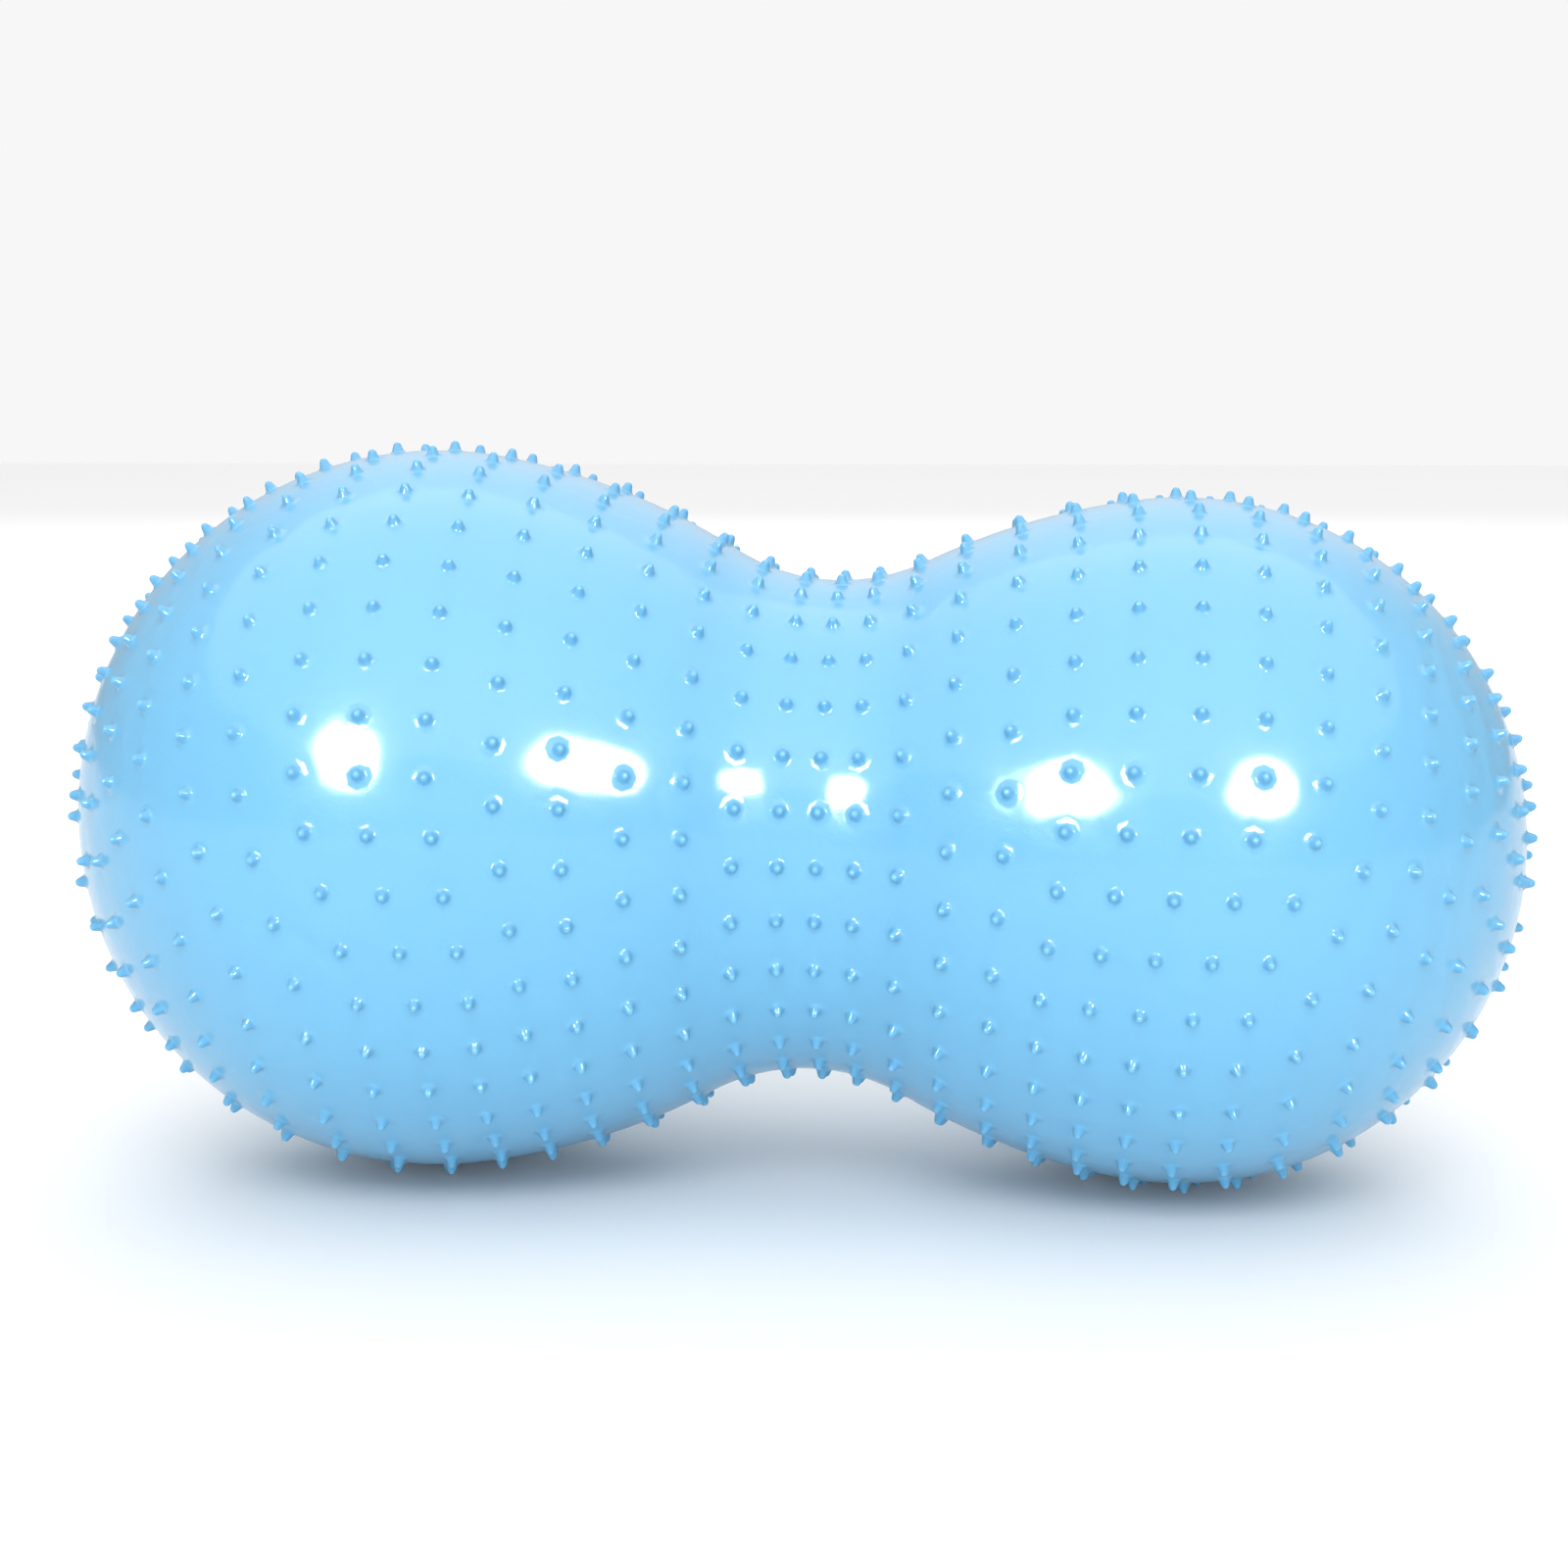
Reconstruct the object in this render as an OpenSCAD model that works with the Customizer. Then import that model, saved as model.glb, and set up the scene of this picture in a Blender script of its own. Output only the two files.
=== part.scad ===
// Peanut exercise ball: two round lobes joined by a waist, moulded in one piece
// of soft vinyl, with blunt nubs all over and a stopper pressed into one end.
// The long axis lies along X, +Z is up, and the ball stands on its lowest nubs.

/* [Lobes and waist] */
// Radius of the fuller lobe, without its nubs
full_lobe_r = 250; // [235:1:280]
// Radius of the slimmer lobe, without its nubs
slim_lobe_r = 235; // [220:1:260]
// Radius of the waist at its narrowest
waist_r = 170; // [150:1:185]
// Radius of the hollow arc round the waist
waist_arc_r = 138; // [100:1:180]
// Radius of the long arc that fills out each flank
flank_arc_r = 465; // [400:5:600]
// Angle, up from the long axis, at which a flank runs into its lobe
flank_deg = 81; // [76:1:86]

/* [Nubs] */
// Height of a nub over the skin
nub_h = 9; // [7:0.5:12]
// Width of a nub's foot, from corner to corner
nub_d = 13; // [10:0.5:15]

/* [Nub rows] */
// Gap between the rings of nubs at the waist
waist_ring_gap = 25; // [24:0.5:32]
// How much wider each next gap is, going out to the lobe
ring_gap_growth = 5; // [2:0.5:8]
// Angle from ring to ring on a lobe
lobe_ring_deg = 9.6; // [8.6:0.1:12]
// Gap from nub to nub round a ring
round_gap = 38; // [34:1:48]
// How far the middle ring lies from the waist, towards the slimmer lobe
middle_ring_off = 7; // [0:0.5:12]
// How far the outer rings lean back to the waist, away from the crown lines
ring_lean = 48; // [0:1:50]
// Distance from the waist at which rings begin to lean
lean_from = 60; // [40:5:120]
// Distance from the waist at which they lean in full
lean_full = 380; // [340:5:420]
// Angle off a crown line at which a ring begins to lean
lean_from_deg = 27; // [15:1:35]
// Angle off a crown line at which it leans in full
lean_full_deg = 75; // [65:1:85]
// Bare skin round the nub on the slimmer lobe's end
end_nub_gap = 38; // [34:1:50]
// Bare skin round the middle of the stopper
stopper_gap = 50; // [40:1:80]

/* [Stopper and seat] */
// Diameter of the raised seat
seat_d = 44; // [38:0.5:50]
// Height of the seat over the end of the lobe
seat_h = 1.5; // [1:0.1:3]
// Width of the slope round the seat
seat_slope = 3; // [2:0.5:4]
// Diameter of the stopper's head
head_d = 24; // [20:0.5:28]
// Thickness of the head
head_h = 3; // [2:0.1:4]
// Diameter of the dished middle of the head
dish_d = 15; // [12:0.5:17]
// Depth of that dish
dish_depth = 1; // [0.5:0.1:1.4]
// Diameter of the hole for the stem
hole_d = 10; // [9:0.1:12]
// Length of the stem under the head
stem_len = 22; // [18:0.5:30]
// Depth of the hole past the end of the stem
hole_spare = 4; // [2:0.5:8]
// Depth of the grooves between the stem's sealing ribs
groove_depth = 0.8; // [0.5:0.1:1.2]
// Number of sealing ribs
rib_count = 3; // [2:1:4]
// Gap between the stopper and its seat, all round
stopper_clear = 0.15; // [0.1:0.05:0.3]

/* [Rest] */
// Angle of the front crown line over the height of the long axis
crown_deg = 46.5; // [30:0.5:60]
// How far the lowest nubs are pressed flat where the ball stands
rest_press = 2.8; // [1:0.1:4]

/* [Hidden] */

BLUE_VINYL = [0.45, 0.75, 0.92];
WHITE_RUBBER = [0.92, 0.93, 0.93];
FULL = -1;
SLIM = 1;
ROUND_FN = 96;
SQUEEZE = 0.3;
CORNERS = 5;
seat_sink = 3;
head_edge = 0.6;
LEVEL_TRIES = 4;
QUARTER = 90;

// The profile of one side, in the plane of the axis: a waist arc, a flank arc
// and the lobe, each running into the next without a corner. A side is FULL or
// SLIM, x is measured along the axis from the waist, and r out from the axis.
function lobe_r(side) = side == FULL ? full_lobe_r : slim_lobe_r;
function flank_out(side) = flank_arc_r - lobe_r(side);
function lobe_x(side) =
    let (reach = flank_arc_r + waist_arc_r)
    let (drop = waist_r + waist_arc_r + flank_out(side) * sin(flank_deg))
    sqrt(reach * reach - drop * drop) - flank_out(side) * cos(flank_deg);
function flank_x(side) = lobe_x(side) + flank_out(side) * cos(flank_deg);
function flank_r(side) = -flank_out(side) * sin(flank_deg);
function waist_deg(side) = asin(flank_x(side) / (flank_arc_r + waist_arc_r));

// Lengths of the skin along the profile, from the waist to the end of the lobe.
function arc_len(r, deg) = r * deg * PI / 180;
function arc_deg(r, len) = len / r * 180 / PI;
function waist_len(side) = arc_len(waist_arc_r, waist_deg(side));
function flank_end(side) =
    waist_len(side) + arc_len(flank_arc_r, waist_deg(side) - 90 + flank_deg);
function skin_len(side) = flank_end(side) + arc_len(lobe_r(side), 180 - flank_deg);

// A point of the skin, s along the profile from the waist, as [x, r, lean],
// where lean is how far the skin faces away from the waist, in degrees.
function on_arc(x, r, arc_r, lean) =
    [x + arc_r * sin(lean), r + arc_r * cos(lean), lean];
function on_skin(side, s) =
    s < waist_len(side)
    ? on_arc(0, waist_r + waist_arc_r, -waist_arc_r, -arc_deg(waist_arc_r, s))
    : s < flank_end(side)
    ? on_arc(flank_x(side), flank_r(side), flank_arc_r,
        arc_deg(flank_arc_r, s - waist_len(side)) - waist_deg(side))
    : on_arc(lobe_x(side), 0, lobe_r(side),
        90 - arc_deg(lobe_r(side), skin_len(side) - s));

// Stations of the rings of nubs, from the waist out: the gaps grow by equal
// steps until they reach the lobe's own step.
function end_gap(side) = side == FULL ? stopper_gap : end_nub_gap;
function border(side) = skin_len(side) - end_gap(side);
function ring_stations(side, s, gap) =
    s - ring_lean >= border(side) ? [] :
    let (step = arc_len(lobe_r(side), lobe_ring_deg))
    let (next = min(gap + ring_gap_growth, step))
    concat([s], ring_stations(side, s + next, next));

// Each ring is two half rings, spread from the two crown lines of the mould,
// with an odd number of nubs that goes with the girth: [side, s, lean, half count].
function ease(t) = let (c = min(max(t, 0), 1)) c * c * (3 - 2 * c);
function lean_at(s) = ring_lean * ease((s - lean_from) / (lean_full - lean_from));
function half_count(r) = max(3, 2 * round((PI * r / round_gap - 1) / 2) + 1);
function ring(side, s) =
    let (lean = lean_at(s))
    let (girth_s = min(s - lean / 2, skin_len(side) - end_gap(side) / 2))
    [side, s, lean, half_count(on_skin(side, girth_s)[1])];
full_s = ring_stations(FULL, waist_ring_gap - middle_ring_off, waist_ring_gap);
slim_s = ring_stations(SLIM, waist_ring_gap + middle_ring_off, waist_ring_gap);
rings = concat(
    [for (i = [len(full_s) - 1 : -1 : 0]) ring(FULL, full_s[i])],
    [ring(SLIM, middle_ring_off)],
    [for (s = slim_s) ring(SLIM, s)]);

// The places round a ring as [side, s, turn, nubbed]. Past the border of the bare
// end a place has no nub, and the ring closes along the border.
function places(ring) =
    let (side = ring[0], n = ring[3])
    [for (i = [0 : 2 * n - 1])
        let (off = (i % n - (n - 1) / 2) * 180 / n)
        let (share = (abs(off) - lean_from_deg) / (lean_full_deg - lean_from_deg))
        let (s = ring[1] - ring[2] * ease(share))
        let (past = s - border(side))
        [side, past < 0 ? s : border(side) + SQUEEZE * past,
            crown_deg + (i - (n - 1) / 2) * 180 / n, past < 0]];
ring_places = [for (r = rings) places(r)];

// A point out from the skin, by its side, station and turn round the axis.
function point(side, s, turn, out) =
    let (p = on_skin(side, s))
    let (r = p[1] + out * cos(p[2]))
    [side * (p[0] + out * sin(p[2])), -r * cos(turn), r * sin(turn)];

// The five corners of a nub: its foot's four, from below round by the stopper's
// side, and its tip. A place with no nub has one corner.
function corners(place) =
    let (side = place[0], s = place[1], turn = place[2], half = nub_d / 2)
    let (wide = arc_deg(on_skin(side, s)[1], half))
    !place[3] ? [for (i = [1 : CORNERS]) point(side, s, turn, 0)] :
    [point(side, s, turn - wide, 0), point(side, s - side * half, turn, 0),
        point(side, s, turn + wide, 0), point(side, s + side * half, turn, 0),
        point(side, s, turn, nub_h)];
LOW_CORNERS = [0, 1, 2];
HIGH_CORNERS = [0, 3, 2];
TIP = 4;

// Number of places in the rings before ring j, and so the first corner's index.
function places_before(j) = j == 0 ? 0 : len(ring_places[j - 1]) + places_before(j - 1);
starts = [for (j = [0 : len(rings)]) CORNERS * places_before(j)];

// One edge of a ring as a closed loop of [turn, index], past its feet on the side
// of the given corners.
function loop(j, side_corners) = [for (i = [0 : len(ring_places[j]) - 1])
    let (place = ring_places[j][i])
    let (wide = arc_deg(on_skin(place[0], place[1])[1], nub_d / 2))
    for (c = place[3] ? side_corners : [0])
    [place[2] + (c == 0 && place[3] ? -wide : c == 2 ? wide : 0), starts[j] + CORNERS * i + c]];

// Joins two loops that follow each other along the axis with a band of triangles:
// each edge takes the corner of the other loop that its middle has come to.
function turn_at(loop, i) = i < len(loop) ? loop[i][0] : loop[i - len(loop)][0] + 360;
function index_at(loop, i) = loop[i % len(loop)][1];
function mids(loop) = [for (i = [0 : len(loop) - 1]) (turn_at(loop, i) + turn_at(loop, i + 1)) / 2];
function passed(marks, turn, tie) = len([for (m = marks) if (m < turn || tie && m == turn) m]);
function band(a, b) =
    let (mids_a = mids(a), mids_b = mids(b))
    concat(
        [for (i = [0 : len(a) - 1])
            [index_at(a, i), index_at(a, i + 1), index_at(b, passed(mids_b, mids_a[i], false))]],
        [for (i = [0 : len(b) - 1])
            [index_at(b, i + 1), index_at(b, i), index_at(a, passed(mids_a, mids_b[i], true))]]);
function fan(loop, index, sense) = [for (i = [0 : len(loop) - 1])
    sense > 0 ? [index_at(loop, i), index_at(loop, i + 1), index]
    : [index_at(loop, i + 1), index_at(loop, i), index]];

// The ball stands with its lowest nubs on both lobes at one level.
tips = [for (ring = ring_places, place = ring) if (place[3])
    point(place[0], place[1], place[2], nub_h)];
function low(side, tilt) =
    min([for (t = tips) if (t[0] * side > 0) t[2] * cos(tilt) - t[0] * sin(tilt)]);
function level(tilt, tries) =
    tries == 0 ? tilt :
    level(tilt + asin((low(SLIM, tilt) - low(FULL, tilt)) / (lobe_x(FULL) + lobe_x(SLIM))),
        tries - 1);
tilt = level(0, LEVEL_TRIES);
end_tip = point(SLIM, skin_len(SLIM), 0, nub_h);
reach = [for (t = concat(tips, [end_tip])) t[0] * cos(tilt) + t[2] * sin(tilt)];
length = max(reach) - min(reach);
mid_x = (max(reach) + min(reach)) / 2;

// Puts the ball, made along X about its waist, on the ground and over the origin.
module stand() {
    translate([-mid_x, 0, -low(FULL, tilt) - rest_press])
        rotate([0, tilt, 0])
        children();
}

// The skin and its nubs: every ring's nubs, the bands between the rings, and the
// two ends, of which the slimmer lobe's has a nub in its middle.
module nubbed_skin() {
    last = len(rings) - 1;
    end_turns = [for (q = [0 : TIP - 1]) crown_deg + (q - 0.5) * QUARTER];
    end_foot = [for (turn = end_turns) point(SLIM, skin_len(SLIM) - nub_d / 2, turn, 0)];
    full_end = point(FULL, skin_len(FULL), 0, 0);
    points = concat(
        [for (ring = ring_places, place = ring) each corners(place)],
        end_foot, [end_tip], [full_end]);
    end_start = starts[len(rings)];
    end_loop = [for (q = [0 : TIP - 1]) [end_turns[q], end_start + q]];
    nub_faces = [for (j = [0 : last], i = [0 : len(ring_places[j]) - 1]) if (ring_places[j][i][3])
        let (first = starts[j] + CORNERS * i)
        for (c = [0 : TIP - 1]) [first + c, first + (c + 1) % TIP, first + TIP]];
    bands = [for (j = [0 : last - 1]) each band(loop(j, HIGH_CORNERS), loop(j + 1, LOW_CORNERS))];
    polyhedron(points, concat(nub_faces, bands,
        fan(loop(0, LOW_CORNERS), end_start + CORNERS, -1),
        band(loop(last, HIGH_CORNERS), end_loop),
        fan(end_loop, end_start + TIP, 1)));
}

// Carries what is drawn along Z, outwards from z = 0, to the stopper's place in
// the middle of the fuller lobe's end.
module at_stopper() {
    translate([-lobe_x(FULL) - full_lobe_r, 0, 0])
        rotate([0, -90, 0])
        children();
}

// The raised seat round the stopper, a low cone that runs down into the lobe.
module seat() {
    slope = seat_slope / seat_h;
    translate([0, 0, -seat_sink])
        cylinder(h = seat_sink + seat_h, r1 = seat_d / 2 + slope * (seat_sink - seat_h),
            r2 = seat_d / 2 - seat_slope, $fn = ROUND_FN);
}

// The recess for the stopper's head, and the blind hole for its stem.
module stopper_hole() {
    depth = head_h + stem_len + hole_spare;
    recess_d = head_d + 2 * stopper_clear;
    translate([0, 0, seat_h - head_h])
        cylinder(h = head_h + seat_h, d = recess_d, $fn = ROUND_FN);
    translate([0, 0, seat_h - depth])
        cylinder(h = depth, d = hole_d, $fn = ROUND_FN);
}

// The ball, with its seat and hole, and with the lowest nubs flat on the ground.
module ball_body() {
    color(BLUE_VINYL)
        difference() {
            stand()
                difference() {
                    union() {
                        nubbed_skin();
                        at_stopper() seat();
                    }
                    at_stopper() stopper_hole();
                }
            translate([-length / 2, -length / 2, -full_lobe_r])
                cube([length, length, full_lobe_r]);
        }
}

// A flat head with a dished middle, on a stem with ribs like arrow heads.
module valve_stopper() {
    stem_r = hole_d / 2 - stopper_clear;
    core_r = stem_r - groove_depth;
    pitch = stem_len / (rib_count + 1);
    rib_h = pitch / 2;
    dish_r = (dish_d * dish_d / 4 + dish_depth * dish_depth) / (2 * dish_depth);
    color(WHITE_RUBBER)
        stand() at_stopper()
        translate([0, 0, seat_h - head_h]) {
            difference() {
                union() {
                    cylinder(h = head_h - head_edge, d = head_d, $fn = ROUND_FN);
                    translate([0, 0, head_h - head_edge])
                        cylinder(h = head_edge, d1 = head_d, d2 = head_d - 2 * head_edge, $fn = ROUND_FN);
                }
                translate([0, 0, head_h + dish_r - dish_depth]) sphere(r = dish_r, $fn = ROUND_FN);
            }
            translate([0, 0, -stem_len]) cylinder(h = stem_len, r = core_r, $fn = ROUND_FN);
            for (i = [1 : rib_count])
                translate([0, 0, -i * pitch - rib_h])
                    cylinder(h = rib_h, r1 = core_r, r2 = stem_r, $fn = ROUND_FN);
        }
}

ball_body();
valve_stopper();
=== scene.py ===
import math

import bmesh
import bpy
import numpy as np
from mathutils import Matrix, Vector
from mathutils.geometry import delaunay_2d_cdt


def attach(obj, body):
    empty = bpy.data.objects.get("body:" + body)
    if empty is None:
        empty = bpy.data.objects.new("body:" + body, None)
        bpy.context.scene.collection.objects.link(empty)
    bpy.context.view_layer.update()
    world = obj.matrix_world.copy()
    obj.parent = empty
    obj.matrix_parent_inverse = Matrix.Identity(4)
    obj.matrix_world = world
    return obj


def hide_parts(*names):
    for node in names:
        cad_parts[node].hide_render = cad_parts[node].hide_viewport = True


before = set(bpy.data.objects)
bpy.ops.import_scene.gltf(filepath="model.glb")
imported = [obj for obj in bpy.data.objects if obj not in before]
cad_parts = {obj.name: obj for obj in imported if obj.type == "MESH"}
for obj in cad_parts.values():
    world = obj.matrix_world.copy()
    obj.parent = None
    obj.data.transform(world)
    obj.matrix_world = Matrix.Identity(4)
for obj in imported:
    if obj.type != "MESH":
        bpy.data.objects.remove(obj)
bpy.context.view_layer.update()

# The vinyl skin
# The ball is one skin of soft PVC, blown or rotation moulded about a millimetre
# thick, with two round lobes, a waist, and blunt nubs moulded all over it. It is
# worked out about its long axis, and then laid down on its lowest nubs.
MM = 0.001
FULL, SLIM = -1, 1
LOBE_R = {FULL: 250 * MM, SLIM: 235 * MM}
WAIST_R = 170 * MM
WAIST_ARC_R = 138 * MM
FLANK_ARC_R = 465 * MM
FLANK_LEAN = math.radians(9)


def half_profile(side):
    """The tangent arcs of one side: the waist's hollow arc, whose centre is outside
    the ball, the long flank arc, and the lobe. Gives the centres of the lobe and the
    flank, the turn of the waist's arc up to the flank, and how far along the skin
    the flank, the lobe and the end come."""
    beyond = FLANK_ARC_R - LOBE_R[side]
    reach = FLANK_ARC_R + WAIST_ARC_R
    flank_r = -beyond * math.cos(FLANK_LEAN)
    flank_x = math.sqrt(reach ** 2 - (WAIST_R + WAIST_ARC_R - flank_r) ** 2)
    waist_turn = math.asin(flank_x / reach)
    flank_from = WAIST_ARC_R * waist_turn
    lobe_from = flank_from + FLANK_ARC_R * (waist_turn - FLANK_LEAN)
    return {"lobe_x": flank_x - beyond * math.sin(FLANK_LEAN), "flank_x": flank_x,
            "flank_r": flank_r, "waist_turn": waist_turn, "flank_from": flank_from,
            "lobe_from": lobe_from,
            "end": lobe_from + LOBE_R[side] * (math.pi / 2 + FLANK_LEAN)}


HALF = {side: half_profile(side) for side in (FULL, SLIM)}


def profile(station):
    """Where a station on the skin lies, as x along the axis, r out from it, and the
    lean of the skin's normal towards +X. Stations run along the skin from the
    waist, below zero towards the fuller lobe. On each arc, x and r are the arc's
    centre plus its radius times the sine and cosine of the lean."""
    station = np.asarray(station, float)
    side = np.where(station < 0, FULL, SLIM)
    s = np.abs(station)
    half = {key: np.where(side < 0, HALF[FULL][key], HALF[SLIM][key]) for key in HALF[FULL]}
    lobe_r = np.where(side < 0, LOBE_R[FULL], LOBE_R[SLIM])
    waist = -s / WAIST_ARC_R
    flank = (s - half["flank_from"]) / FLANK_ARC_R - half["waist_turn"]
    lobe = (s - half["lobe_from"]) / lobe_r - FLANK_LEAN
    where = [s < half["flank_from"], s < half["lobe_from"]]
    lean = np.select(where, [waist, flank], lobe)
    x = np.select(where, [-WAIST_ARC_R * np.sin(waist), half["flank_x"] + FLANK_ARC_R * np.sin(flank)],
                  half["lobe_x"] + lobe_r * np.sin(lobe))
    r = np.select(where, [WAIST_R + WAIST_ARC_R * (1 - np.cos(waist)),
                          half["flank_r"] + FLANK_ARC_R * np.cos(flank)], lobe_r * np.cos(lobe))
    return side * x, r, side * lean


def round_axis(x, r, turn):
    """Points at x along the axis and r out from it, turned from the front (-Y) up."""
    return np.stack([x, -r * np.cos(turn), r * np.sin(turn)], -1)


# The nub rows
# The mould's two halves each carry half rings of nubs that fan out from a crown
# line. Rings are close at the waist and even on the lobes, and away from the
# crown lines they lean back to the waist.
WAIST_RING_GAP = 25 * MM
RING_GAP_GROWTH = 5 * MM
LOBE_RING_STEP = math.radians(9.6)
ROUND_GAP = 38 * MM
MIDDLE_RING_OFF = 7 * MM
RING_LEAN = 48 * MM
LEAN_STATIONS = (60 * MM, 380 * MM)
LEAN_TURNS = (math.radians(27), math.radians(75))
CROWN = math.radians(46.5)
BARE_END = {FULL: 50 * MM, SLIM: 38 * MM}


def ease(t):
    """A smooth step: three t squared less two t cubed, held at 0 and 1."""
    t = np.clip(t, 0, 1)
    return t * t * (3 - 2 * t)


def ring_stations(side):
    """Stations of one side's rings: gaps grow evenly up to the lobe's own step."""
    step = LOBE_R[side] * LOBE_RING_STEP
    stations, gap = [], WAIST_RING_GAP
    s = WAIST_RING_GAP + side * MIDDLE_RING_OFF
    while s - RING_LEAN < HALF[side]["end"] - BARE_END[side]:
        stations.append(s)
        gap = min(gap + RING_GAP_GROWTH, step)
        s += gap
    return stations


def ring_nubs(side, s):
    """One ring as rows of station and turn: an odd count in each half, set by the
    girth, leaning as far as its station and its turn off the crown line say."""
    lean = RING_LEAN * ease((s - LEAN_STATIONS[0]) / (LEAN_STATIONS[1] - LEAN_STATIONS[0]))
    end = HALF[side]["end"]
    girth = profile(side * min(s - lean / 2, end - BARE_END[side] / 2))[1]
    count = max(3, 2 * round((math.pi * float(girth) / ROUND_GAP - 1) / 2) + 1)
    off = (np.arange(count) - (count - 1) / 2) * math.pi / count
    share = (np.abs(off) - LEAN_TURNS[0]) / (LEAN_TURNS[1] - LEAN_TURNS[0])
    place = s - lean * ease(share)
    kept = place < end - BARE_END[side]
    halves = [np.stack([side * place, CROWN + half + off], -1)[kept] for half in (0, math.pi)]
    return np.concatenate(halves)


rings = [ring_nubs(side, s) for side in (FULL, SLIM) for s in ring_stations(side)]
rings.append(ring_nubs(SLIM, MIDDLE_RING_OFF))
nubs = np.concatenate(rings)
nub_x, nub_r, nub_lean = profile(nubs[:, 0])

# The lie of the ball
# The axis tilts until the lowest nubs of both lobes reach the floor, where the
# ball's weight presses them flat. The nub height here is the solid's, so that the
# skin lies where the solid's skin does.
NUB_H = 9 * MM
REST_PRESS = 2.8 * MM
TILT_TRIES = 4
tips = round_axis(nub_x + NUB_H * np.sin(nub_lean), nub_r + NUB_H * np.cos(nub_lean), nubs[:, 1])
end_tip = HALF[SLIM]["lobe_x"] + LOBE_R[SLIM] + NUB_H
tilt = 0.0
for _ in range(TILT_TRIES):
    drop = tips[:, 2] * math.cos(tilt) - tips[:, 0] * math.sin(tilt)
    low = {side: drop[tips[:, 0] * side > 0].min() for side in (FULL, SLIM)}
    tilt += math.asin((low[SLIM] - low[FULL]) / (HALF[FULL]["lobe_x"] + HALF[SLIM]["lobe_x"]))
reach = np.append(tips[:, 0] * math.cos(tilt) + tips[:, 2] * math.sin(tilt), end_tip * math.cos(tilt))
middle = (reach.max() + reach.min()) / 2


def lay(points):
    """Tilts points about the waist and lowers them on to the floor."""
    x, y, z = np.moveaxis(points, -1, 0)
    return np.stack([x * math.cos(tilt) + z * math.sin(tilt) - middle, y,
                     z * math.cos(tilt) - x * math.sin(tilt) - low[FULL] - REST_PRESS], -1)


# The nubs' form
# A nub is a flared foot, a cone, and a round tip, as it comes out of a drilled
# mould. The skin dips a little round the foot, where the thicker nub holds it back.
# BLUNT_H is the height that the photograph shows, and is less than the solid's.
BLUNT_H = 7.1 * MM
NUB_R = 4.2 * MM
TIP_R = 2.9 * MM
FOOT_H = 1.0 * MM
TIP_STEPS = (0.52, 1.0)
DIP_R = 6.2 * MM
DIP_DEPTH = 0.35 * MM
RIM_R = 10 * MM
RIM_DEPTH = 0.1 * MM


def nub_outline():
    """The outline from the tip's middle down, as distances from the nub's axis and
    heights: two steps of the tip's arc, whose end meets the cone's side, then the
    cone's foot, the dip round it, and the dip's rim on the skin. On the arc, the
    distance is the tip's radius times the sine of the step, and the height is the
    arc's centre plus the radius times the cosine."""
    side_lean = math.atan2(NUB_R - TIP_R, BLUNT_H - TIP_R - FOOT_H)
    arc = np.array(TIP_STEPS) * (math.pi / 2 - side_lean)
    out = np.append(TIP_R * np.sin(arc), [NUB_R, DIP_R, RIM_R])
    high = np.append(BLUNT_H - TIP_R + TIP_R * np.cos(arc), [FOOT_H, -DIP_DEPTH, -RIM_DEPTH])
    return out, high


# Chart of the skin: the sum of each short length along the skin over its distance
# from the axis, so that a small circle on the skin stays a circle on the chart. The
# skin stops at a ring of points near each end, where the turned ends take over.
CHART_POINTS = 4001
POLE_GAP = 5 * MM
SEAT_RING_R = 28 * MM
END_RING_R = 14 * MM
chart_s = np.linspace(-HALF[FULL]["end"] + POLE_GAP, HALF[SLIM]["end"] - POLE_GAP, CHART_POINTS)
chart_mid_r = profile((chart_s[1:] + chart_s[:-1]) / 2)[1]
chart_v = np.append(0, np.cumsum(np.diff(chart_s) / chart_mid_r))
skin_ends = (-HALF[FULL]["end"] + SEAT_RING_R, HALF[SLIM]["end"] - END_RING_R)

# Points between the nubs, in even staggered rows that keep clear of every nub.
SKIN_STEP = 8.5 * MM
NUB_CLEAR = 14 * MM
row_count = round((skin_ends[1] - skin_ends[0]) / SKIN_STEP)
rows = np.linspace(*skin_ends, row_count + 1)[1:-1]
between = []
for i, s in enumerate(rows):
    row_r = float(profile(s)[1])
    n = round(2 * math.pi * row_r / SKIN_STEP)
    turn = (np.arange(n) + 0.5 * (i % 2)) * 2 * math.pi / n
    near = nubs[np.abs(nubs[:, 0] - s) < NUB_CLEAR]
    round_off = (turn[:, None] - near[None, :, 1] + math.pi) % (2 * math.pi) - math.pi
    gap = np.hypot(round_off * row_r, near[None, :, 0] - s)
    free = np.all(gap > NUB_CLEAR, axis=1) if len(near) else np.ones(n, bool)
    between.append(np.stack([np.full(n, s), turn], -1)[free])
between = np.concatenate(between)

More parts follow.
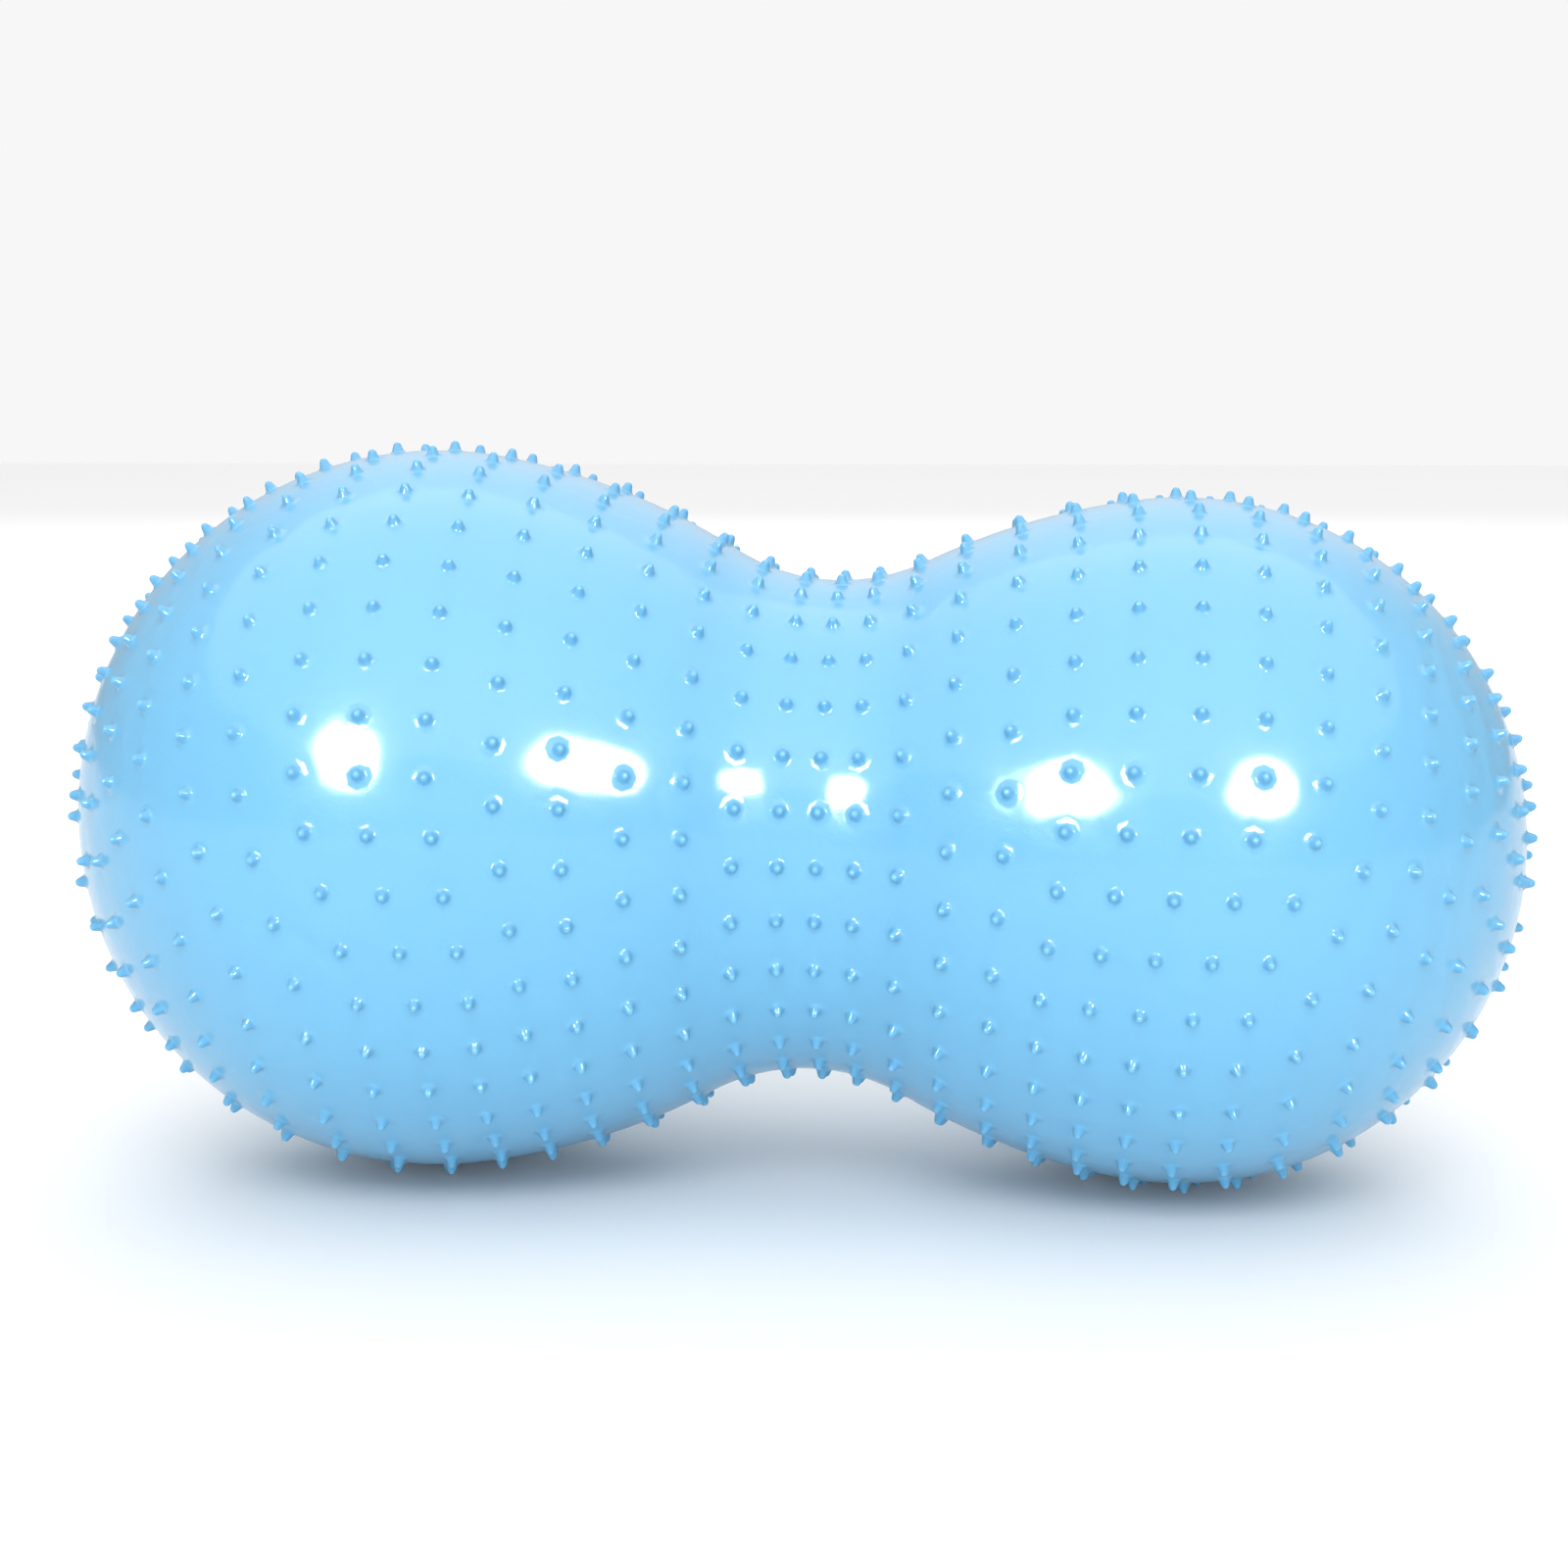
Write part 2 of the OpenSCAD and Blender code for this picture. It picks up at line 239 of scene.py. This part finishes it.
# Rings of points round every nub, by the nub's outline, and the ring at each end.
NUB_SIDES = 8
SEAT_SIDES = 64
END_SIDES = 16
out, high = nub_outline()
spoke = np.arange(NUB_SIDES) * 2 * math.pi / NUB_SIDES
along = out[:, None] * np.cos(spoke)
across = out[:, None] * np.sin(spoke)
nub_s = nubs[:, 0][:, None, None] + along
nub_turn = nubs[:, 1][:, None, None] + across / nub_r[:, None, None]
nub_high = np.broadcast_to(high[:, None], nub_s.shape[1:])[None].repeat(len(nubs), 0)
seat_turn = np.arange(SEAT_SIDES) * 2 * math.pi / SEAT_SIDES
end_turn = np.arange(END_SIDES) * 2 * math.pi / END_SIDES
chart = np.concatenate([
    np.stack([np.full(SEAT_SIDES, skin_ends[0]), seat_turn], -1),
    np.stack([np.full(END_SIDES, skin_ends[1]), end_turn], -1),
    nubs, np.stack([nub_s.ravel(), nub_turn.ravel()], -1), between])
height = np.concatenate([np.zeros(SEAT_SIDES + END_SIDES), np.full(len(nubs), BLUNT_H),
                         nub_high.ravel(), np.zeros(len(between))])
axis_of = np.concatenate([np.full(SEAT_SIDES + END_SIDES, -1), np.arange(len(nubs)),
                          np.repeat(np.arange(len(nubs)), len(out) * NUB_SIDES),
                          np.full(len(between), -1)])

# Each point rises along its own nub's axis, from the skin under it.
x, r, _ = profile(chart[:, 0])
points = round_axis(x, r, chart[:, 1])
up = round_axis(np.sin(nub_lean), np.cos(nub_lean), nubs[:, 1])
points += np.where(axis_of[:, None] >= 0, up[axis_of] * height[:, None], 0)

# The chart is cut open along one line, so each edge is lapped for EDGE_LAP radians
# by a copy of the other, and each triangle is kept once. A tiny wave sets the points
# off any shared circle, so that both edges are joined up alike.
EDGE_LAP = 1.5
WAVE_SIZE = 2e-5
WAVE_STEP = 2.4
SAME_POINT = 1e-9
wave = WAVE_SIZE * np.sin(np.arange(len(chart)) * WAVE_STEP)
wave[:SEAT_SIDES + END_SIDES] = 0
flat_v = np.interp(chart[:, 0], chart_s, chart_v) + wave
flat_t = chart[:, 1] % (2 * math.pi) + wave
low_lap = np.flatnonzero(flat_t > 2 * math.pi - EDGE_LAP)
high_lap = np.flatnonzero(flat_t < EDGE_LAP)
source = np.concatenate([np.arange(len(chart)), low_lap, high_lap])
lapped_t = np.concatenate([flat_t, flat_t[low_lap] - 2 * math.pi, flat_t[high_lap] + 2 * math.pi])
flat = np.stack([flat_v[source], lapped_t], -1)
joined = delaunay_2d_cdt([Vector(p) for p in flat.tolist()], [], [], 0, SAME_POINT)
faces = np.array(joined[2])
origin = np.array([ids[0] for ids in joined[3]])
mid_t = np.array([p[1] for p in joined[0]])[faces].mean(1)
faces = source[origin[faces[(mid_t >= 0) & (mid_t < 2 * math.pi)]]]

# The two ends
# The slimmer lobe ends in a nub. The fuller one has a raised seat, with a round
# recess for the stopper's head and a hole for its stem.
SEAT_R = 22 * MM
SEAT_H = 1.5 * MM
SEAT_SLOPE = 3 * MM
HEAD_R = 12 * MM
HEAD_H = 3 * MM
HOLE_R = 5 * MM
STOPPER_CLEAR = 0.15 * MM
HOLE_DEPTH = 26 * MM


def turned_end(side, outline, sides, first, start):
    """Carries an outline, as distance from the axis and height over the lobe's end,
    round the axis. Gives its points, which are numbered from start, and the triangles
    that join them to each other and to the skin's own ring, numbered from first."""
    turn = np.arange(sides) * 2 * math.pi / sides
    end_x = HALF[side]["lobe_x"] + LOBE_R[side]
    out, high = np.array(outline).T[:, :, None]
    ring_points = round_axis(*np.broadcast_arrays(side * (end_x + high), out, turn))
    numbers = start + np.arange(len(outline) * sides).reshape(len(outline), sides)
    rings = np.concatenate([[first + np.arange(sides)], numbers])
    inner, outer = rings[1:], rings[:-1]
    quads = np.stack([outer, np.roll(outer, -1, 1), np.roll(inner, -1, 1), inner], -1).reshape(-1, 4)
    return ring_points.reshape(-1, 3), np.concatenate([quads[:, [0, 1, 2]], quads[:, [0, 2, 3]]])


def end_height(side, distance):
    """How far the lobe's round end lies below its middle, at a distance out."""
    return math.sqrt(LOBE_R[side] ** 2 - distance ** 2) - LOBE_R[side]


# The seat's outline, from the skin in: its fillet on the skin, the slope, the
# rounded edges of its face, the recess, and the hole. The short steps of the
# fillet and of both edges are their own sizes.
recess_r = HEAD_R + STOPPER_CLEAR
slope_r = SEAT_R - SEAT_SLOPE
recess_floor = SEAT_H - HEAD_H
hole_floor = recess_floor - HOLE_DEPTH
FILLET_R = SEAT_R + 1.8 * MM
FILLET_LIFT = 0.1 * MM
seat_outline = [
    (FILLET_R, end_height(FULL, FILLET_R) + FILLET_LIFT),
    (SEAT_R, FILLET_LIFT),
    (slope_r + 0.8 * MM, SEAT_H - 0.35 * MM),
    (slope_r, SEAT_H),
    (slope_r - 1 * MM, SEAT_H),
    (recess_r + 0.6 * MM, SEAT_H),
    (recess_r + 0.2 * MM, SEAT_H - 0.1 * MM),
    (recess_r, SEAT_H - 0.4 * MM),
    (recess_r, recess_floor),
    (HOLE_R, recess_floor),
    (HOLE_R, hole_floor),
    (0.0, hole_floor)]
seat_points, seat_faces = turned_end(FULL, seat_outline, SEAT_SIDES, 0, len(points))
end_outline = [(o, h + end_height(SLIM, o)) for o, h in zip(out[::-1], high[::-1])] + [(0.0, BLUNT_H)]
end_points, end_faces = turned_end(SLIM, end_outline, END_SIDES, SEAT_SIDES,
                                   len(points) + len(seat_points))
points = np.concatenate([points, seat_points, end_points])
faces = np.concatenate([faces, seat_faces, end_faces])
end_heights = np.repeat(np.append(high[::-1], BLUNT_H), END_SIDES)
nub_share = np.concatenate([height, np.zeros(len(seat_points)), end_heights]) / BLUNT_H

# The skin is laid down, and its lowest tips are pressed flat on the floor. The
# points that meet at both poles are merged.
MERGE_GAP = 1e-6
NO_LENGTH = 1e-7
laid = lay(points)
laid[:, 2] = np.maximum(laid[:, 2], 0)
skin = bpy.data.meshes.new("vinyl_skin")
skin.from_pydata(laid.tolist(), [], faces.tolist())
up_nub = skin.attributes.new("nub_share", "FLOAT", "POINT")
up_nub.data.foreach_set("value", np.clip(nub_share, 0, 1))
shell = bmesh.new()
shell.from_mesh(skin)
bmesh.ops.remove_doubles(shell, verts=shell.verts, dist=MERGE_GAP)
bmesh.ops.dissolve_degenerate(shell, dist=NO_LENGTH, edges=shell.edges)
bmesh.ops.recalc_face_normals(shell, faces=shell.faces)
shell.to_mesh(skin)
shell.free()
skin.shade_smooth()
ball = bpy.data.objects.new("vinyl_skin", skin)
bpy.context.scene.collection.objects.link(ball)
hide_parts("ball_body")
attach(ball, "root")


def linear(hex_colour):
    """The linear colour of six sRGB hex digits, by the sRGB curve."""
    parts = [int(hex_colour[i:i + 2], 16) / 255 for i in (0, 2, 4)]
    return [p / 12.92 if p <= 0.04045 else ((p + 0.055) / 1.055) ** 2.4 for p in parts] + [1]


def add(tree, kind, links=(), **values):
    """Adds a node. Values set its sockets or its own settings by name, and links
    join its sockets, by name or number, to the outputs of other nodes."""
    node = tree.nodes.new(kind)
    for name, value in values.items():
        if hasattr(node, name):
            setattr(node, name, value)
        else:
            node.inputs[name.replace("_", " ")].default_value = value
    for socket, source in dict(links).items():
        tree.links.new(source, node.inputs[socket])
    return node


def new_material(name):
    """An empty node material, with its tree and its shader."""
    material = bpy.data.materials.new(name)
    material.use_nodes = True
    return material, material.node_tree, material.node_tree.nodes["Principled BSDF"]


AXIS_RATE = 20
DIAGONAL_RATE = 10 * math.sqrt(3)


def band_scale(spacing, rate=AXIS_RATE):
    """The scale of a Wave node whose bands are this far apart. The node draws the
    sine of its scale times the distance times a rate, which is 20 along an axis or
    round rings, and ten times the root of three across the diagonal."""
    return 2 * math.pi / (rate * spacing)


# Soft glossy PVC, blown in a polished mould. To the eye it is pale blue right
# through, and deeper on the flanks of the solid nubs. Near the nub tips the deeper
# blue fades back to the skin's own paler blue, a painted highlight for the light on the tips.
# The stretched skin ripples slowly, which bends the bright patches' edges, and it
# has creases near both ends, faint wrinkles in places, and a fine grain.
pvc, tree, shader = new_material("soft_pvc_moulded_blue")
place = add(tree, "ShaderNodeTexCoord").outputs["Object"]
cloud = add(tree, "ShaderNodeTexNoise", {"Vector": place}, Scale=1 / (200 * MM), Detail=3.0)
blues = add(tree, "ShaderNodeMix", {0: cloud.outputs["Fac"]}, data_type="RGBA")
blues.inputs[6].default_value = linear("66A6CB")
blues.inputs[7].default_value = linear("6DACD0")

# Shares of a nub's height, each with how deep its blue is there. The deeper blue
# is the solid nub's own; its fall back to the skin's paler blue near the tip is a painted highlight.
NUB_BLUE_AND_TIP_HIGHLIGHT = ((0.04, 0.0), (0.2, 1.0), (0.72, 1.0), (0.97, 0.1))
share = add(tree, "ShaderNodeAttribute", attribute_name="nub_share")
solid = add(tree, "ShaderNodeValToRGB", {0: share.outputs["Fac"]})
stops = solid.color_ramp.elements
for at, depth in NUB_BLUE_AND_TIP_HIGHLIGHT:
    stops.new(at).color = (depth, depth, depth, 1)
stops.remove(stops[len(stops) - 1])
stops.remove(stops[0])
nubbed = add(tree, "ShaderNodeMix", {0: solid.outputs["Color"], 6: blues.outputs[2]}, data_type="RGBA")
nubbed.inputs[7].default_value = linear("5A9CC3")
tree.links.new(nubbed.outputs[2], shader.inputs["Base Color"])

# Handling dulls the skin in soft patches about 45 mm across.
wear = add(tree, "ShaderNodeTexNoise", {"Vector": place}, Scale=1 / (45 * MM), Detail=2.0)
gloss = add(tree, "ShaderNodeMapRange", {"Value": wear.outputs["Fac"]},
            From_Min=0.35, From_Max=0.75, To_Min=0.3, To_Max=0.34)
tree.links.new(gloss.outputs["Result"], shader.inputs["Roughness"])

# Ripple of the stretched skin, about 70 mm from crest to crest.
ripple = add(tree, "ShaderNodeTexNoise", {"Vector": place},
             Scale=1 / (70 * MM), Detail=6.0, Roughness=0.58)
rippled = add(tree, "ShaderNodeBump", {"Height": ripple.outputs["Fac"]}, Strength=0.42, Distance=4 * MM)

# Creases about 20 mm apart, which come in on the way to each end.
across = add(tree, "ShaderNodeSeparateXYZ", {"Vector": place})
outward = add(tree, "ShaderNodeMath", {0: across.outputs["X"]}, operation="ABSOLUTE")
near_end = add(tree, "ShaderNodeMapRange", {"Value": outward.outputs[0]},
               From_Min=360 * MM, From_Max=470 * MM)
crease = add(tree, "ShaderNodeTexWave", {"Vector": place}, bands_direction="X",
             Scale=band_scale(20 * MM), Distortion=9.0, Detail=2.0, Detail_Scale=0.6)
creased = add(tree, "ShaderNodeBump", {"Strength": near_end.outputs["Result"],
              "Height": crease.outputs["Fac"], "Normal": rippled.outputs[0]}, Distance=0.7 * MM)

# Wrinkles about 52 mm apart, only in patches about 140 mm across.
patch = add(tree, "ShaderNodeTexNoise", {"Vector": place}, Scale=1 / (140 * MM), Detail=1.0)
in_patch = add(tree, "ShaderNodeMapRange", {"Value": patch.outputs["Fac"]}, From_Min=0.54, From_Max=0.66)
wrinkle = add(tree, "ShaderNodeTexWave", {"Vector": place}, bands_direction="DIAGONAL",
              Scale=band_scale(52 * MM, DIAGONAL_RATE), Distortion=16.0, Detail=3.0)
wrinkled = add(tree, "ShaderNodeBump", {"Strength": in_patch.outputs["Result"],
               "Height": wrinkle.outputs["Fac"], "Normal": creased.outputs[0]}, Distance=0.6 * MM)

# Mould grain, drawn 1.1 mm wide, which is coarser than the real one, so that it shows.
grain = add(tree, "ShaderNodeTexNoise", {"Vector": place}, Scale=1 / (1.1 * MM), Detail=2.0)
grained = add(tree, "ShaderNodeBump", {"Height": grain.outputs["Fac"], "Normal": wrinkled.outputs[0]},
              Strength=0.12, Distance=0.1 * MM)
tree.links.new(grained.outputs[0], shader.inputs["Normal"])

# Most of the gloss is the mould's polish, set as a coat, and light sinks a little
# way into the thin PVC.
shader.inputs["IOR"].default_value = 1.53
shader.inputs["Specular IOR Level"].default_value = 0.08
shader.inputs["Coat Weight"].default_value = 0.68
shader.inputs["Coat Roughness"].default_value = 0.115
shader.inputs["Subsurface Weight"].default_value = 0.15
shader.inputs["Subsurface Radius"].default_value = (10 * MM, 20 * MM, 30 * MM)
shader.inputs["Subsurface Scale"].default_value = 0.5
skin.materials.append(pvc)

# The stopper
# A plug of PVC with a flat, dished head, moulded and pressed into the fuller lobe's
# end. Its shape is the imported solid's own.

# White PVC from a turned mould. To the eye it is satin, with specks 4 mm wide and
# the mould's turning marks 2 mm apart round its middle.
white, tree, shader = new_material("white_pvc_moulded")
place = add(tree, "ShaderNodeTexCoord").outputs["Object"]
speck = add(tree, "ShaderNodeTexNoise", {"Vector": place}, Scale=1 / (4 * MM), Detail=5.0)
whites = add(tree, "ShaderNodeMix", {0: speck.outputs["Fac"]}, data_type="RGBA")
whites.inputs[6].default_value = linear("F1F2F0")
whites.inputs[7].default_value = linear("E4E7E7")
tree.links.new(whites.outputs[2], shader.inputs["Base Color"])
pole = lay(np.array([-HALF[FULL]["lobe_x"] - LOBE_R[FULL], 0.0, 0.0]))
centred = add(tree, "ShaderNodeMapping", {"Vector": place}, Location=(-pole).tolist())
turned = add(tree, "ShaderNodeTexWave", {"Vector": centred.outputs[0]}, wave_type="RINGS",
             rings_direction="X", Scale=band_scale(2 * MM))
ringed = add(tree, "ShaderNodeBump", {"Height": turned.outputs["Fac"]}, Strength=0.3, Distance=0.2 * MM)
matte = add(tree, "ShaderNodeBump", {"Height": speck.outputs["Fac"], "Normal": ringed.outputs[0]},
            Strength=0.2, Distance=0.1 * MM)
tree.links.new(matte.outputs[0], shader.inputs["Normal"])
shader.inputs["Roughness"].default_value = 0.42
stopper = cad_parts["valve_stopper"]
for material_slot in stopper.material_slots:
    material_slot.link = "OBJECT"
    material_slot.material = white

# The floor
# A plain pale studio floor of matt paper, which isn't part of the object and goes
# well past the edges of every view.
FLOOR_SIZE = 60
bpy.ops.mesh.primitive_plane_add(size=FLOOR_SIZE)
floor = bpy.context.object
floor.name = "studio_floor"
paper, tree, shader = new_material("pale_floor")
shader.inputs["Base Color"].default_value = linear("E6E6E6")
shader.inputs["Roughness"].default_value = 0.8
floor.data.materials.append(paper)

# The light
# A pale room, brightest overhead and darker at its side walls, behind a plain
# backdrop that only the camera sees. Two soft boxes and a white ceiling show in the
# gloss alone, and three far lamps only fill.
HORIZON = 0.55
OVERHEAD = 1.5
SIDE_WALL = 0.58
BACKDROP = 0.93
world = bpy.data.worlds.new("studio")
bpy.context.scene.world = world
world.use_nodes = True
air = world.node_tree
sky = air.nodes["Background"]
toward = add(air, "ShaderNodeTexCoord")
direction = add(air, "ShaderNodeSeparateXYZ", {"Vector": toward.outputs["Generated"]})
overhead = add(air, "ShaderNodeMapRange", {"Value": direction.outputs["Z"]},
               From_Min=-0.05, From_Max=0.7, To_Min=HORIZON, To_Max=OVERHEAD)
sideways = add(air, "ShaderNodeMath", {0: direction.outputs["X"]}, operation="ABSOLUTE")
walls = add(air, "ShaderNodeMapRange", {"Value": sideways.outputs[0]},
            From_Min=0.25, From_Max=0.62, To_Min=1.0, To_Max=SIDE_WALL)
room = add(air, "ShaderNodeMath", {0: overhead.outputs["Result"], 1: walls.outputs["Result"]},
           operation="MULTIPLY")
ray = add(air, "ShaderNodeLightPath")
seen = add(air, "ShaderNodeMix", {0: ray.outputs["Is Camera Ray"], 2: room.outputs[0]})
seen.inputs[3].default_value = BACKDROP
air.links.new(seen.outputs[0], sky.inputs["Strength"])
sky.inputs["Color"].default_value = linear("FFFFFF")
bpy.context.scene.view_settings.view_transform = "Standard"


def soft_box(name, at, aim, size, watts, glints, fills):
    """A soft light that faces a point, and gives mirrored glints, fill, or both."""
    lamp = bpy.data.lights.new(name, "AREA")
    lamp.shape = "ELLIPSE"
    lamp.size = size[0]
    lamp.size_y = size[1]
    lamp.energy = watts
    box = bpy.data.objects.new(name, lamp)
    box.location = at
    box.rotation_euler = (Vector(aim) - Vector(at)).to_track_quat("-Z", "Y").to_euler()
    box.visible_glossy = glints
    box.visible_diffuse = fills
    bpy.context.scene.collection.objects.link(box)


ball_middle = (0, 0, 0.25)
soft_box("left_box", (-1.0, -2.3, 1.24), ball_middle, (0.93, 0.88), 80, glints=True, fills=False)
soft_box("right_box", (1.2, -2.0, 1.14), ball_middle, (0.93, 0.72), 67, glints=True, fills=False)
soft_box("ceiling", (0.1, -2.2, 8.5), ball_middle, (30.0, 22.0), 1850, glints=True, fills=False)
soft_box("over_camera", (0.9, -9.0, 7.8), ball_middle, (9.0, 4.5), 430, glints=False, fills=True)
soft_box("low_fill", (0.6, -10.8, 1.8), ball_middle, (10.2, 2.4), 590, glints=False, fills=True)
soft_box("rear_fill", (-0.9, 10.2, 6.6), ball_middle, (9.0, 4.5), 250, glints=False, fills=True)

# The camera
# It stands where the photograph was taken from: level with the ball's top and
# right of its waist, two metres off.
eye = Vector((0.1729, -1.9726, 0.5295))
aim = Vector((-0.0096, 0.0027, 0.2750))
lens = bpy.data.cameras.new("camera")
lens.lens = 65.8
camera = bpy.data.objects.new("camera", lens)
camera.location = eye
camera.rotation_euler = (aim - eye).to_track_quat("-Z", "Y").to_euler()
bpy.context.scene.collection.objects.link(camera)
bpy.context.scene.camera = camera
